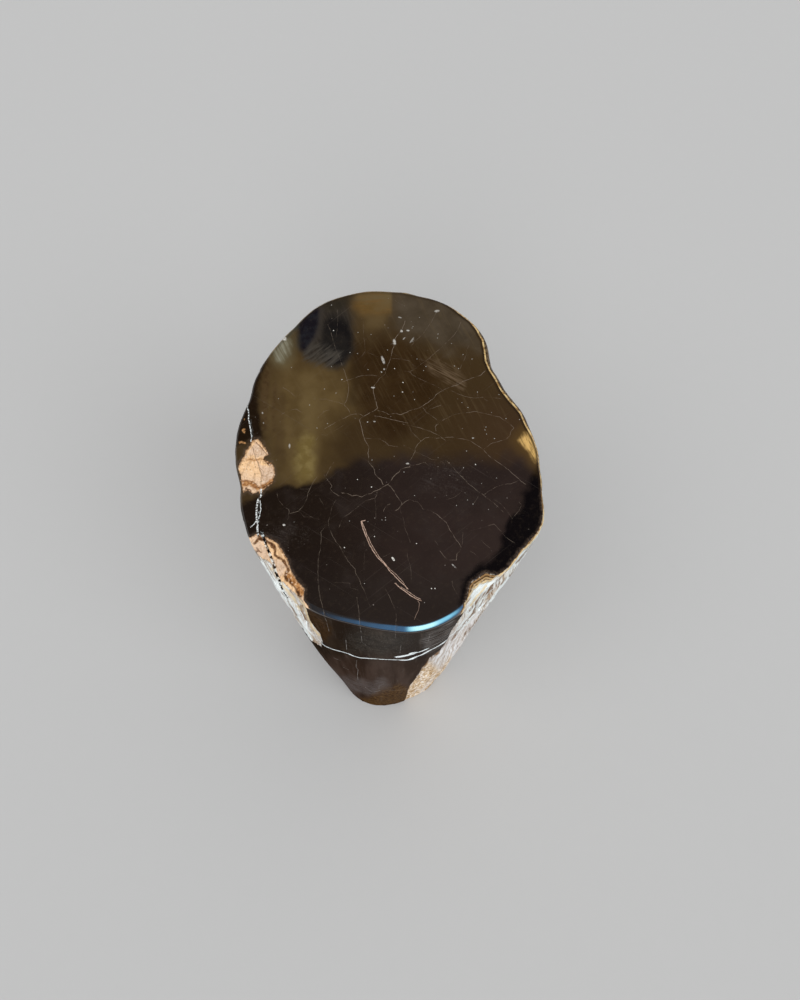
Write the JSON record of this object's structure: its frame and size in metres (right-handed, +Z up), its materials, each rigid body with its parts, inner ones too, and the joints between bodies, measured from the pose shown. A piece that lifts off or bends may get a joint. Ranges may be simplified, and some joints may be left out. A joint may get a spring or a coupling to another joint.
{
  "type": "petrified wood stump",
  "caption": "Petrified wood stump standing on a sawn base, with a polished dark top, pale cracks, broken pockets at the rim and a side that tapers to a smaller foot.",
  "frame": {"origin": "on the floor, under the middle of the stump's box", "axes": "+Z up from the sawn base to the polished top, -Y to the narrow polished front, +X to the right seen from the front"},
  "size_m": [0.323, 0.4206, 0.475],
  "materials": {
    "petrified_wood": "polished dark brown on the top and the front, rough pale fibrous skin down the sides"
  },
  "bodies": {
    "root": {"petrified_wood_stump": "petrified_wood"}
  },
  "joints": []
}
